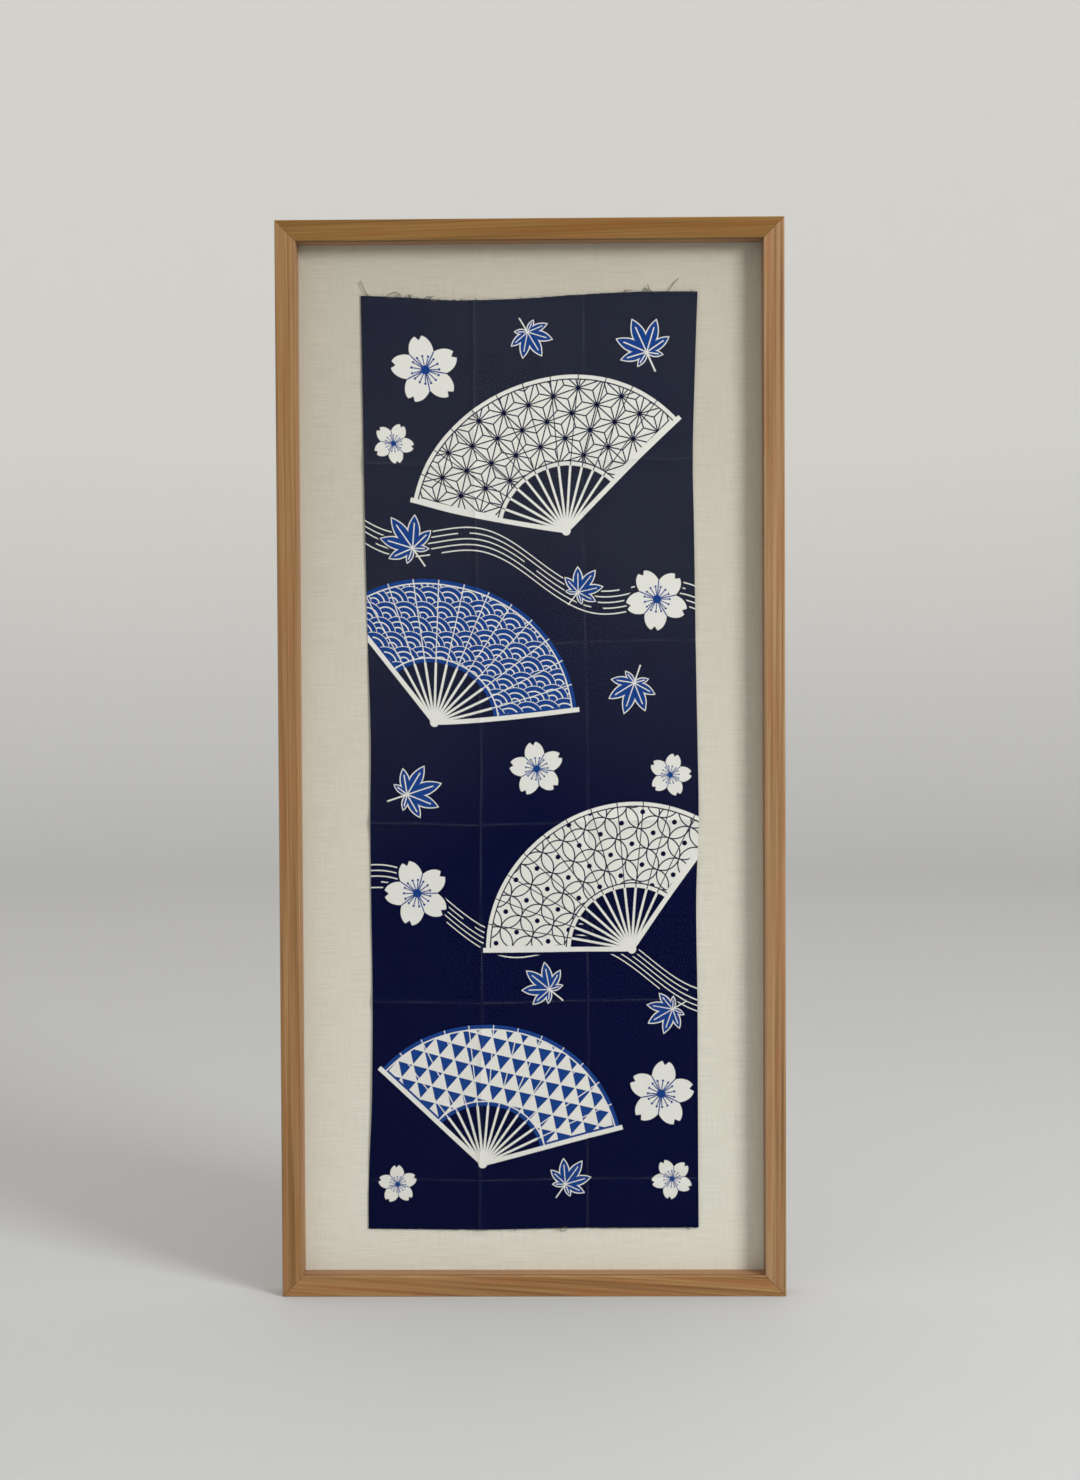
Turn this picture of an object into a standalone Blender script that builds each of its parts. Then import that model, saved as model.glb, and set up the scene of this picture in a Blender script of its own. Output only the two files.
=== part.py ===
"""A tenugui, a narrow cotton towel, mounted flat in a deep wooden frame.

Metres, +Z up. The front faces -Y. The origin is on the surface that the frame stands on, midway
along its width and depth.
"""

import math

import bmesh
import bpy

# Frame
FRAME_WIDTH = 0.510
FRAME_HEIGHT = 1.085
FRAME_DEPTH = 0.035
FACE_WIDTH = 0.021
LIP_DEPTH = 0.005
REBATE_WIDTH = 0.006
ARRIS_RADIUS = 0.0012
ARRIS_STEPS = 2
GAP = 0.0003

# What lies in the rebate, from front to back
GLAZING_THICKNESS = 0.002
BOARD_DEPTH_BEHIND_FACE = 0.024
BOARD_THICKNESS = 0.005
BACK_THICKNESS = 0.003
BOARD_EDGE_RADIUS = 0.001

# Towel
TOWEL_LENGTH = 0.950
TOWEL_THICKNESS = 0.001
TOWEL_BOTTOM_Z = 0.0637
MEAN_LIFT = 0.0009
CREASE_REACH = 0.022
CREASE_STOPS = (-0.015, -0.005, 0, 0.005, 0.015)
CELLS_BETWEEN_CREASES = 4

# Low swells over the whole cloth: height, length up the cloth, length across it, start in turns
SWELLS = (
    (0.0003, 0.31, 0.70, 0.00),
    (0.0002, 0.19, -0.45, 0.18),
)

# Creases across the towel: height above the bottom end, rise of the crest, below zero in a trough
CREASES_ACROSS = (
    (0.0508, -0.0006),
    (0.2335, 0.0013),
    (0.4162, 0.0016),
    (0.5989, -0.0007),
    (0.7816, 0.0010),
)

# Creases along the towel: x, rise of the crest, below zero in a trough
CREASES_ALONG = (
    (-0.0548, 0.0009),
    (0.0545, -0.0006),
)

# Selvedges: height above the bottom end, x of the left selvedge, x of the right selvedge
SELVEDGE_ROWS = (
    (0.000, -0.1693, 0.1678),
    (0.050, -0.1688, 0.1676),
    (0.132, -0.1650, 0.1674),
    (0.236, -0.1636, 0.1672),
    (0.335, -0.1644, 0.1663),
    (0.420, -0.1647, 0.1690),
    (0.500, -0.1637, 0.1680),
    (0.602, -0.1662, 0.1664),
    (0.722, -0.1681, 0.1650),
    (0.783, -0.1689, 0.1641),
    (0.880, -0.1700, 0.1668),
    (0.950, -0.1710, 0.1694),
)

# Raw ends: share of the width from the left, rise of the top end, rise of the bottom end
END_ROWS = (
    (0.00, -0.0008, 0.0000),
    (0.14, -0.0030, -0.0005),
    (0.27, -0.0061, -0.0009),
    (0.40, -0.0058, -0.0008),
    (0.52, -0.0042, 0.0000),
    (0.63, -0.0017, 0.0006),
    (0.83, 0.0012, 0.0008),
    (1.00, 0.0010, 0.0010),
)

# Where the layers lie along Y
FRONT_Y = -FRAME_DEPTH / 2
BACK_Y = FRAME_DEPTH / 2
GLAZING_FRONT_Y = FRONT_Y + LIP_DEPTH + GAP
GLAZING_BACK_Y = GLAZING_FRONT_Y + GLAZING_THICKNESS
BOARD_FRONT_Y = FRONT_Y + BOARD_DEPTH_BEHIND_FACE
BOARD_BACK_Y = BOARD_FRONT_Y + BOARD_THICKNESS
BACK_BOARD_FRONT_Y = BOARD_BACK_Y + GAP
BACK_BOARD_BACK_Y = BACK_BOARD_FRONT_Y + BACK_THICKNESS

# Each piece's colour, linear, then its roughness and how far light passes through it
FINISHES = {
    "oak": ((0.300, 0.175, 0.080), 0.55, 0.0),
    "oak_fillet": ((0.150, 0.075, 0.035), 0.60, 0.0),
    "clear_sheet": ((0.95, 0.97, 0.97), 0.03, 1.0),
    "linen": ((0.560, 0.520, 0.440), 0.90, 0.0),
    "fibreboard": ((0.270, 0.185, 0.110), 0.80, 0.0),
    "indigo_cotton": ((0.010, 0.014, 0.055), 0.85, 0.0),
}


def clear_scene():
    for obj in list(bpy.data.objects):
        bpy.data.objects.remove(obj, do_unlink=True)


def add_piece(name, shape, finish, location=(0, 0, 0), turn=0.0):
    """An object from a finished bmesh, with its own material, turned about Y and placed."""
    mesh = bpy.data.meshes.new(name)
    shape.to_mesh(mesh)
    shape.free()
    piece = bpy.data.objects.new(name, mesh)
    bpy.context.scene.collection.objects.link(piece)
    piece.location = location
    piece.rotation_euler = (0, turn, 0)
    colour, roughness, clear = FINISHES[finish]
    material = bpy.data.materials.new(name)
    material.use_nodes = True
    shader = material.node_tree.nodes["Principled BSDF"]
    shader.inputs["Base Color"].default_value = (*colour, 1)
    shader.inputs["Roughness"].default_value = roughness
    shader.inputs["Metallic"].default_value = 0.0
    shader.inputs["Transmission Weight"].default_value = clear
    mesh.materials.append(material)
    return piece


def mitred_bar(section, length, arrises=()):
    """A bar along X whose ends are cut at 45 degrees, longest on its outer side.

    section is a list of (inward, depth) points, in order round the profile. inward is measured
    from the outer side of the frame and points up +Z, depth runs back along +Y. arrises are the
    places in section whose long edges are rounded.
    """
    shape = bmesh.new()
    half_cut = GAP / math.sqrt(2)

    def end_x(inward):
        return length / 2 - inward - half_cut

    start = [shape.verts.new((-end_x(inward), depth, inward)) for inward, depth in section]
    profile = shape.faces.new(start)
    moved = bmesh.ops.extrude_face_region(shape, geom=[profile])["geom"]
    for vert in (v for v in moved if isinstance(v, bmesh.types.BMVert)):
        vert.co.x = end_x(vert.co.z)
    bmesh.ops.recalc_face_normals(shape, faces=shape.faces)
    if arrises:
        corners = [section[i] for i in arrises]
        long_edges = [edge for edge in shape.edges if is_long_edge(edge, corners)]
        bmesh.ops.bevel(
            shape, geom=long_edges, offset=ARRIS_RADIUS, segments=ARRIS_STEPS, profile=0.5, affect="EDGES"
        )
    return shape


def is_long_edge(edge, corners):
    """True for an edge that runs along the bar at one of the (inward, depth) corners."""
    a, b = (v.co for v in edge.verts)
    along = abs(a.y - b.y) < 1e-6 and abs(a.z - b.z) < 1e-6
    return along and any(abs(a.z - inward) < 1e-6 and abs(a.y - depth) < 1e-6 for inward, depth in corners)


def frame_sides():
    """The four sides of the frame: name, outer length, outer middle point and turn about Y."""
    half_width = FRAME_WIDTH / 2
    half_height = FRAME_HEIGHT / 2
    return (
        ("bottom", FRAME_WIDTH, (0, 0), 0.0),
        ("top", FRAME_WIDTH, (0, FRAME_HEIGHT), math.pi),
        ("left", FRAME_HEIGHT, (-half_width, half_height), math.pi / 2),
        ("right", FRAME_HEIGHT, (half_width, half_height), -math.pi / 2),
    )


def build_rails():
    """Four oak rails with an L section: a lip at the front and a rebate behind it."""
    wall = FACE_WIDTH - REBATE_WIDTH
    section = (
        (0, FRONT_Y),
        (FACE_WIDTH, FRONT_Y),
        (FACE_WIDTH, FRONT_Y + LIP_DEPTH),
        (wall, FRONT_Y + LIP_DEPTH),
        (wall, BACK_Y),
        (0, BACK_Y),
    )
    front_outer, front_inner = 0, 1
    for side, length, (x, z), turn in frame_sides():
        shape = mitred_bar(section, length, arrises=(front_outer, front_inner))
        add_piece(f"rail_{side}", shape, "oak", (x, 0, z), turn)


def build_spacers():
    """Four fillets that fill the rebate between the clear sheet and the board, flush with the lip."""
    wall = FACE_WIDTH - REBATE_WIDTH + GAP
    front = GLAZING_BACK_Y + GAP
    back = BOARD_FRONT_Y - GAP
    section = ((wall, front), (FACE_WIDTH, front), (FACE_WIDTH, back), (wall, back))
    for side, length, (x, z), turn in frame_sides():
        add_piece(f"spacer_{side}", mitred_bar(section, length), "oak_fillet", (x, 0, z), turn)


def add_sheet(name, finish, front, back, edge_radius=0.0):
    """A flat sheet that fills the rebate from side to side, between two depths."""
    margin = FACE_WIDTH - REBATE_WIDTH + GAP
    width = FRAME_WIDTH - 2 * margin
    height = FRAME_HEIGHT - 2 * margin
    shape = bmesh.new()
    bmesh.ops.create_cube(shape, size=1)
    bmesh.ops.scale(shape, vec=(width, back - front, height), verts=shape.verts)
    piece = add_piece(name, shape, finish, (0, (front + back) / 2, FRAME_HEIGHT / 2))
    if edge_radius:
        rounding = piece.modifiers.new("wrapped edge", "BEVEL")
        rounding.width = edge_radius
        rounding.segments = 2
    return piece


def curve_read(rows, place, column):
    """A table's column at any place along it, on a smooth curve through the rows."""
    index = max(i for i in range(len(rows) - 1) if i == 0 or rows[i][0] <= place)
    low, high = rows[index], rows[index + 1]
    before, after = rows[max(index - 1, 0)], rows[min(index + 2, len(rows) - 1)]
    span = high[0] - low[0]
    slope_low = span * (high[column] - before[column]) / (high[0] - before[0])
    slope_high = span * (after[column] - low[column]) / (after[0] - low[0])
    t = min(max((place - low[0]) / span, 0), 1)
    eased = t * t * (3 - 2 * t)
    bend = t * (1 - t) * ((1 - t) * slope_low - t * slope_high)
    return low[column] + (high[column] - low[column]) * eased + bend


def crease(distance, rise):
    """A sharp crest, or a trough, that eases out to nothing at CREASE_REACH."""
    share = min(abs(distance) / CREASE_REACH, 1)
    return rise * (1 - share) ** 2


def towel_relief(x, height):
    """How far the cloth stands off the board: creases on low swells, nowhere below zero."""
    lift = MEAN_LIFT
    for rise, up, across, start in SWELLS:
        lift += rise * math.sin(2 * math.pi * (height / up + x / across + start))
    for place, rise in CREASES_ACROSS:
        lift += crease(height - place, rise)
    for place, rise in CREASES_ALONG:
        lift += crease(x - place, rise)
    return max(lift, 0)


def spread(low, high, cells):
    """Evenly spaced places after low, up to and with high."""
    return [low + (high - low) * i / cells for i in range(1, cells + 1)]


def grid_places(creases, start, end):
    """Grid lines from start to end: close together round each crease, and evenly spaced between."""
    places = [start]
    for place, _ in creases:
        places += spread(places[-1], place + CREASE_STOPS[0], CELLS_BETWEEN_CREASES)
        places += [place + step for step in CREASE_STOPS[1:]]
    return places + spread(places[-1], end, CELLS_BETWEEN_CREASES)


def build_towel():
    """The cloth: one closed solid, a front and a back face on the same uneven outline."""
    mean_left = sum(row[1] for row in SELVEDGE_ROWS) / len(SELVEDGE_ROWS)
    mean_right = sum(row[2] for row in SELVEDGE_ROWS) / len(SELVEDGE_ROWS)
    columns = grid_places(CREASES_ALONG, mean_left, mean_right)
    rows = grid_places(CREASES_ACROSS, 0, TOWEL_LENGTH)
    resting_y = BOARD_FRONT_Y - GAP
    shape = bmesh.new()
    grid = {}
    for r, height in enumerate(rows):
        left = curve_read(SELVEDGE_ROWS, height, 1)
        right = curve_read(SELVEDGE_ROWS, height, 2)
        for c, column in enumerate(columns):
            share = (column - mean_left) / (mean_right - mean_left)
            x = left + (right - left) * share
            up = height / TOWEL_LENGTH
            rise = curve_read(END_ROWS, share, 1) * up + curve_read(END_ROWS, share, 2) * (1 - up)
            y = resting_y - towel_relief(column, height)
            z = TOWEL_BOTTOM_Z + height + rise
            grid[r, c] = shape.verts.new((x, y, z))
    for r in range(len(rows) - 1):
        for c in range(len(columns) - 1):
            shape.faces.new((grid[r, c], grid[r, c + 1], grid[r + 1, c + 1], grid[r + 1, c]))
    front = bmesh.ops.extrude_face_region(shape, geom=shape.faces[:])["geom"]
    for vert in (v for v in front if isinstance(v, bmesh.types.BMVert)):
        vert.co.y -= TOWEL_THICKNESS
    bmesh.ops.recalc_face_normals(shape, faces=shape.faces)
    towel = add_piece("towel", shape, "indigo_cotton")
    towel.data.shade_smooth()


def main():
    clear_scene()
    build_rails()
    build_spacers()
    add_sheet("glazing", "clear_sheet", GLAZING_FRONT_Y, GLAZING_BACK_Y)
    add_sheet("mount_board", "linen", BOARD_FRONT_Y, BOARD_BACK_Y, BOARD_EDGE_RADIUS)
    add_sheet("back_board", "fibreboard", BACK_BOARD_FRONT_Y, BACK_BOARD_BACK_Y)
    build_towel()


main()
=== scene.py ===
# %% [markdown]
# # A tenugui in a wooden frame
#
# A tenugui is a narrow hand towel of plain-weave cotton. It is dyed, cut from the roll with raw ends,
# and often framed like a picture. This lesson finishes one in a deep oak frame. The solids of the
# frame, the clear sheet and the boards already have their true shape, so they only need good materials.
# The cloth gets a finer mesh, with its creases, its frayed ends and its print.
#
# Everything is in metres. +Z is up, the front faces -Y, and the frame stands on Z = 0.

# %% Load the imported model
import math
import operator
import random

import bpy
from mathutils import Matrix, Vector, noise


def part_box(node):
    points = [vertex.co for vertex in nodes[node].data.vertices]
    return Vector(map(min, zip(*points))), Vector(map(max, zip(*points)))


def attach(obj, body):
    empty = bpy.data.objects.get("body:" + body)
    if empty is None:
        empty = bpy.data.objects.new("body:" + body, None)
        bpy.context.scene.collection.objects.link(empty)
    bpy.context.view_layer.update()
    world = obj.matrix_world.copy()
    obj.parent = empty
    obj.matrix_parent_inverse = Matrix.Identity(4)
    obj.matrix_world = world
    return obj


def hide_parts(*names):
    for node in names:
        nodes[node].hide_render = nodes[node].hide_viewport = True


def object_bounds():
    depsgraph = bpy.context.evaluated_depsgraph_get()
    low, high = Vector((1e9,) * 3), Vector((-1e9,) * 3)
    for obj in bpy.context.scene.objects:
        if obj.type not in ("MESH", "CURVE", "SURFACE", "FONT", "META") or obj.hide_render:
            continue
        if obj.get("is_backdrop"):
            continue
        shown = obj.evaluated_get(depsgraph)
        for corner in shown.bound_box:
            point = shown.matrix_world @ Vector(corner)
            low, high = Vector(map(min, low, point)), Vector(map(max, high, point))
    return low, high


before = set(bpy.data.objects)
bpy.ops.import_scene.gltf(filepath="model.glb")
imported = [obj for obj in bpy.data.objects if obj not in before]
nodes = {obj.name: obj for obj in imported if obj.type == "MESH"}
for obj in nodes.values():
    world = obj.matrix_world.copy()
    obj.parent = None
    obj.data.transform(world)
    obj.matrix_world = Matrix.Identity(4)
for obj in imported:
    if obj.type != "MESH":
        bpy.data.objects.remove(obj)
solid_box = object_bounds()
FRAME_MIDDLE = Vector((0, 0, solid_box[1].z / 2))
print("loaded", len(nodes), "nodes,", round(solid_box[1].z, 3), "m high")

# %% [markdown]
# ## The view
#
# The photograph looks at the frame almost square on, from 2.2 m away and a little above its middle. The
# camera's place and turn were found by fitting the corners of the frame, so they are small odd angles
# and not round ones. No shift is used, so the same camera can be walked round the object for the other
# views.

# %% Camera
CAMERA_PLACE = Vector((0.0395, -2.2, 0.6185))
CAMERA_YAW = 0.01415
CAMERA_PITCH = -0.0253
CAMERA_ROLL = 0.00475
LENS_MM = 52.85
FARTHEST_SEEN = 50

bpy.ops.object.select_all(action="DESELECT")
bpy.ops.object.camera_add(location=CAMERA_PLACE)
camera = bpy.context.object
camera.name = "camera"
camera.data.lens = LENS_MM
looks_ahead = Matrix.Rotation(math.pi / 2, 4, "X")
turn = Matrix.Rotation(CAMERA_YAW, 4, "Z") @ Matrix.Rotation(CAMERA_PITCH, 4, "X")
turn = turn @ Matrix.Rotation(CAMERA_ROLL, 4, "Y") @ looks_ahead
camera.matrix_world = Matrix.Translation(CAMERA_PLACE) @ turn
camera.data.clip_end = FARTHEST_SEEN
bpy.context.scene.camera = camera
bpy.context.scene.view_settings.view_transform = "Standard"
print("camera", round((CAMERA_PLACE - FRAME_MIDDLE).length, 2), "m from the frame's middle")

# %% [markdown]
# ## Numbers on wires
#
# Most of the finishes here are small sums, such as a distance to a thread or to the rim of a fan. A
# Math node does one step of such a sum. To keep the sums readable, a `Wire` stands for a number in a
# material, and adding or multiplying two wires makes the Math node that does it. A distance is negative
# inside a shape, so the smaller of two distances joins two shapes and the larger one keeps only their
# overlap.

# %% Wires and small sums
class Wire:
    """A number in a material's nodes. Arithmetic on it adds Math nodes to the same material."""

    def __init__(self, socket):
        self.socket = socket

    def __add__(self, other):
        return maths("ADD", self, other)

    def __sub__(self, other):
        return maths("SUBTRACT", self, other)

    def __rsub__(self, other):
        return maths("SUBTRACT", other, self)

    def __mul__(self, other):
        return maths("MULTIPLY", self, other)

    def __abs__(self):
        return maths("ABSOLUTE", self)


def maths(operation, *values, clamp=False):
    """One Math node, whose inputs are wires or plain numbers."""
    tree = next(value for value in values if isinstance(value, Wire)).socket.id_data
    node = tree.nodes.new("ShaderNodeMath")
    node.operation = operation
    node.use_clamp = clamp
    for socket, value in zip(node.inputs, values):
        if isinstance(value, Wire):
            tree.links.new(value.socket, socket)
        else:
            socket.default_value = value
    return Wire(node.outputs["Value"])


def smallest(first, *others):
    for other in others:
        first = maths("MINIMUM", first, other)
    return first


def largest(first, *others):
    for other in others:
        first = maths("MAXIMUM", first, other)
    return first


def hypotenuse(x, y):
    return maths("SQRT", maths("MULTIPLY_ADD", x, x, y * y))


def to_nearest(value, pitch):
    """How far a value is from the nearest multiple of pitch."""
    return maths("PINGPONG", value, pitch / 2)


def covered(distance, softness):
    """1 inside a shape, 0 outside, with an edge that is softness wide."""
    return maths("MULTIPLY_ADD", distance, -1 / softness, 0.5, clamp=True)


def turned(x, y, centre, angle):
    """The coordinates seen from a centre, with the page turned by an angle."""
    across = x - centre[0]
    up = y - centre[1]
    cosine = math.cos(angle)
    sine = math.sin(angle)
    return across * cosine + up * sine, up * cosine - across * sine


# %% [markdown]
# ## Materials from a short recipe
#
# Every material starts as a Principled shader. `Finish` keeps the few things that all of them need: the
# coordinates they follow, stretched noise, a mix of two colours, and a bump. The coordinates are the
# object's own, so that a pattern stays on its piece when the piece or the camera moves. What is the
# same all over a surface is set on the shader itself, because an exported model keeps it only there.

# %% A recipe for materials
class Finish:
    """A material being put together around one Principled shader."""

    def __init__(self, name, roughness, **sockets):
        self.material = bpy.data.materials.new(name)
        self.material.use_nodes = True
        self.tree = self.material.node_tree
        self.shader = self.tree.nodes["Principled BSDF"]
        self.shader.inputs["Roughness"].default_value = roughness
        for socket, value in sockets.items():
            self.shader.inputs[socket.replace("_", " ")].default_value = value

    def add(self, kind, inputs=(), **settings):
        """A node with its settings, and its inputs as pairs of a name and a value or a socket."""
        node = self.tree.nodes.new(kind)
        for setting, value in settings.items():
            setattr(node, setting, value)
        for name, value in inputs:
            if isinstance(value, Wire):
                value = value.socket
            if isinstance(value, bpy.types.NodeSocket):
                self.tree.links.new(value, node.inputs[name])
            else:
                node.inputs[name].default_value = value
        return node

    def place(self, turn=(0, 0, 0), offset=(0, 0, 0)):
        """Coordinates in metres on the object, turned, then moved."""
        coordinates = self.add("ShaderNodeTexCoord")
        inputs = [("Vector", coordinates.outputs["Object"]), ("Location", offset), ("Rotation", turn)]
        return self.add("ShaderNodeMapping", inputs).outputs["Vector"]

    def parts(self, vector):
        """The three numbers of a vector, as wires."""
        split = self.add("ShaderNodeSeparateXYZ", [("Vector", vector)])
        return [Wire(output) for output in split.outputs]

    def noise(self, vector, per_metre, detail=2.0, distortion=0.0):
        """Smooth noise about 0.5, with as many waves to a metre along x, y and z as per_metre says."""
        scaled = self.add("ShaderNodeVectorMath", [(0, vector), (1, per_metre)], operation="MULTIPLY")
        inputs = [("Vector", scaled.outputs[0]), ("Scale", 1.0)]
        inputs += [("Detail", detail), ("Distortion", distortion)]
        return Wire(self.add("ShaderNodeTexNoise", inputs).outputs["Fac"])

    def spread(self, value, low, high, new_low=0.0, new_high=1.0):
        """A value's range from low to high, stretched to a new range and cut off there."""
        inputs = [("Value", value), ("From Min", low), ("From Max", high)]
        inputs += [("To Min", new_low), ("To Max", new_high)]
        return Wire(self.add("ShaderNodeMapRange", inputs, clamp=True).outputs["Result"])

    def mix(self, below, above, share, blend="MIX"):
        """Two colours, or a colour socket, mixed by a share."""
        node = self.add("ShaderNodeMix", data_type="RGBA", blend_type=blend)
        for index, value in ((0, share), (6, below), (7, above)):
            if isinstance(value, Wire):
                value = value.socket
            if isinstance(value, bpy.types.NodeSocket):
                self.tree.links.new(value, node.inputs[index])
            elif index:
                node.inputs[index].default_value = (*value, 1)
            else:
                node.inputs[index].default_value = value
        return node.outputs[2]

    def bump(self, height, depth, strength=1.0):
        """A height from 0 to 1, felt as a relief that is depth metres deep."""
        inputs = [("Height", height), ("Distance", depth), ("Strength", strength)]
        bump = self.add("ShaderNodeBump", inputs)
        self.tree.links.new(bump.outputs["Normal"], self.shader.inputs["Normal"])

    def colour(self, socket):
        self.tree.links.new(socket, self.shader.inputs["Base Color"])

    def roughness(self, wire):
        self.tree.links.new(wire.socket, self.shader.inputs["Roughness"])


def wear(piece, material):
    """Gives every slot of a piece the same material."""
    if not piece.data.materials:
        piece.data.materials.append(material)
    for slot in piece.material_slots:
        slot.material = material


# %% [markdown]
# ## The studio
#
# A pale floor runs out to a round wall with a wide curve between them, so that no line shows behind the
# object from any side. It starts as a flat disc, and its rim is extruded up the curve in steps. It
# could also be a plane and a wall, but their joint would cut across the picture. The wall stays far
# enough away for a camera to walk round inside it.

# %% Floor and wall
FLOOR_RADIUS = 5.0
CURVE_RADIUS = 1.6
WALL_HEIGHT = 4.2
CURVE_STEPS = 12
RIM_CORNERS = 128


def scaled_rim(before, after, rise):
    """Extrudes the selected rim up by rise, and widens it from one radius to another."""
    bpy.ops.mesh.extrude_edges_move(TRANSFORM_OT_translate={"value": (0, 0, rise)})
    grow = after / before
    bpy.ops.transform.resize(value=(grow, grow, 1), center_override=(0, 0, 0))


bpy.ops.object.select_all(action="DESELECT")
bpy.ops.mesh.primitive_circle_add(vertices=RIM_CORNERS, radius=FLOOR_RADIUS, fill_type="NGON")
studio = bpy.context.object
studio.name = "studio"
bpy.ops.object.mode_set(mode="EDIT")
bpy.ops.mesh.select_all(action="SELECT")
bpy.ops.mesh.region_to_loop()
radius = FLOOR_RADIUS
height = 0.0
for step in range(1, CURVE_STEPS + 1):
    angle = math.pi / 2 * step / CURVE_STEPS
    next_radius = FLOOR_RADIUS + CURVE_RADIUS * math.sin(angle)
    next_height = CURVE_RADIUS * (1 - math.cos(angle))
    scaled_rim(radius, next_radius, next_height - height)
    radius = next_radius
    height = next_height
scaled_rim(radius, radius, WALL_HEIGHT - height)
bpy.ops.object.mode_set(mode="OBJECT")
bpy.ops.object.shade_smooth()
studio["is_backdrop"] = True
print("studio", round(2 * radius, 1), "m wide,", WALL_HEIGHT, "m high")

# %% [markdown]
# ## Light
#
# The photograph's light comes from the upper right. It leaves a soft shadow about 20 mm wide on the
# board inside the right rail, and a narrower one under the top rail. A lamp a little over a metre wide,
# 46 degrees round to the right and half as high up, makes both shadows with that soft edge. The rest
# is even light from the sky and the walls. Nothing glossy mirrors the lamp, or the floor would glare
# when it is seen from behind the frame.

# %% Sky and lamp
SKY_COLOUR = (1.0, 0.955, 0.895)
SKY_STRENGTH = 0.75
LAMP_COLOUR = (0.970, 0.990, 1.0)
LAMP_AZIMUTH = math.radians(46)
LAMP_ELEVATION = math.radians(23)
LAMP_DISTANCE = 4.4
LAMP_SIZE = 1.35
LAMP_WATTS = 141

world = bpy.data.worlds.new("sky")
world.use_nodes = True
sky = world.node_tree.nodes["Background"]
sky.inputs["Color"].default_value = (*SKY_COLOUR, 1)
sky.inputs["Strength"].default_value = SKY_STRENGTH
bpy.context.scene.world = world

level = math.cos(LAMP_ELEVATION)
to_lamp = Vector((
    math.sin(LAMP_AZIMUTH) * level,
    -math.cos(LAMP_AZIMUTH) * level,
    math.sin(LAMP_ELEVATION),
))
bpy.ops.object.light_add(type="AREA", location=FRAME_MIDDLE + to_lamp * LAMP_DISTANCE)
lamp = bpy.context.object
lamp.name = "key lamp"
lamp.data.shape = "SQUARE"
lamp.data.size = LAMP_SIZE
lamp.data.energy = LAMP_WATTS
lamp.data.color = LAMP_COLOUR
lamp.rotation_euler = to_lamp.to_track_quat("Z", "Y").to_euler()
lamp.visible_camera = False
lamp.visible_glossy = False
print("lamp at", [round(part, 2) for part in lamp.location])

# %% [markdown]
# ## The studio's paper
#
# The floor and the wall are one pale paper, which gets lighter up the wall. The lamp is close to the
# floor that lies in front of it. Seen from behind the frame that place would burn out to white, so the
# paper is toned down there.

# %% Studio paper
FLOOR_COLOUR = (0.590, 0.602, 0.616)
WALL_COLOUR = (0.900, 0.905, 0.890)
PAPER_MOTTLE = 0.05
HOT_SPOT_DISTANCE = 3.75
HOT_SPOT_INNER = 0.9
HOT_SPOT_OUTER = 2.5
HOT_SPOT_DARKER = 0.55

paper = Finish("studio paper", roughness=0.62, Specular_IOR_Level=0.2)
paper_place = paper.place()
paper_x, paper_y, paper_height = paper.parts(paper_place)
mottle = paper.noise(paper_place, (1.1, 1.1, 1.1)) * PAPER_MOTTLE
colour = paper.mix(FLOOR_COLOUR, WALL_COLOUR, paper.spread(paper_height, 0, CURVE_RADIUS) + mottle)
hot_spot = FRAME_MIDDLE + to_lamp * HOT_SPOT_DISTANCE
away = hypotenuse(paper_x - hot_spot.x, paper_y - hot_spot.y)
toned = paper.spread(away, HOT_SPOT_INNER, HOT_SPOT_OUTER, HOT_SPOT_DARKER, 0)
paper.colour(paper.mix(colour, (0, 0, 0), toned))
wear(studio, paper.material)
print("paper toned down round", [round(part, 2) for part in hot_spot.xy])

# %% [markdown]
# ## Oak
#
# The rails are light brown oak with a satin finish. Up close it has broad streaks along the grain, fine
# darker pores a few millimetres long, and a few redder patches. Long streaks are noise that is
# stretched: a few waves to a metre along the grain, and hundreds across it. A wave texture would give
# even stripes, and real grain isn't even.
#
# Each rail is its own length of wood, so each gets its own place in the noise and its own slant. Each
# also gets its own tint, which leaves the top rail darkest and most orange and the right one palest.
# The grain of the top and bottom rails runs out slightly across the face. The rounded edges are paler,
# partly from wear by handling and partly as a painted highlight: there the normal leans away from all
# three axes, and that is how the material finds them.

# %% Oak for the four rails
OAK_PALE = (0.500, 0.300, 0.130)
OAK_MIDDLE = (0.375, 0.203, 0.080)
OAK_DARK = (0.210, 0.100, 0.036)
OAK_RED = (0.400, 0.165, 0.060)
# The pale colour of the rounded edges is partly wear and partly a painted highlight.
OAK_WORN_AND_HIGHLIT = (0.640, 0.500, 0.340)
RED_SHARE = 0.55
PORE_SHARE = 0.45
WEAR_AND_HIGHLIGHT_SHARE = 0.28
GRAIN_DEPTH = 0.0002
GRAIN_STRENGTH = 0.5

# Waves to a metre along the grain, and in the two directions across it
OAK_STREAKS = (3.0, 300, 300)
OAK_LINES = (5.0, 850, 850)
OAK_PATCHES = (9.0, 210, 210)
OAK_PORES = (140, 3400, 3400)

# Rails: side, grain along z or not, its slant in degrees, how much red, green and blue the wood keeps
RAILS = (
    ("top", False, 1.6, (0.553, 0.498, 0.320)),
    ("bottom", False, -4.0, (0.768, 0.722, 0.655)),
    ("left", True, 0.2, (0.735, 0.717, 0.694)),
    ("right", True, -0.3, (0.790, 0.825, 0.940)),
)


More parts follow.
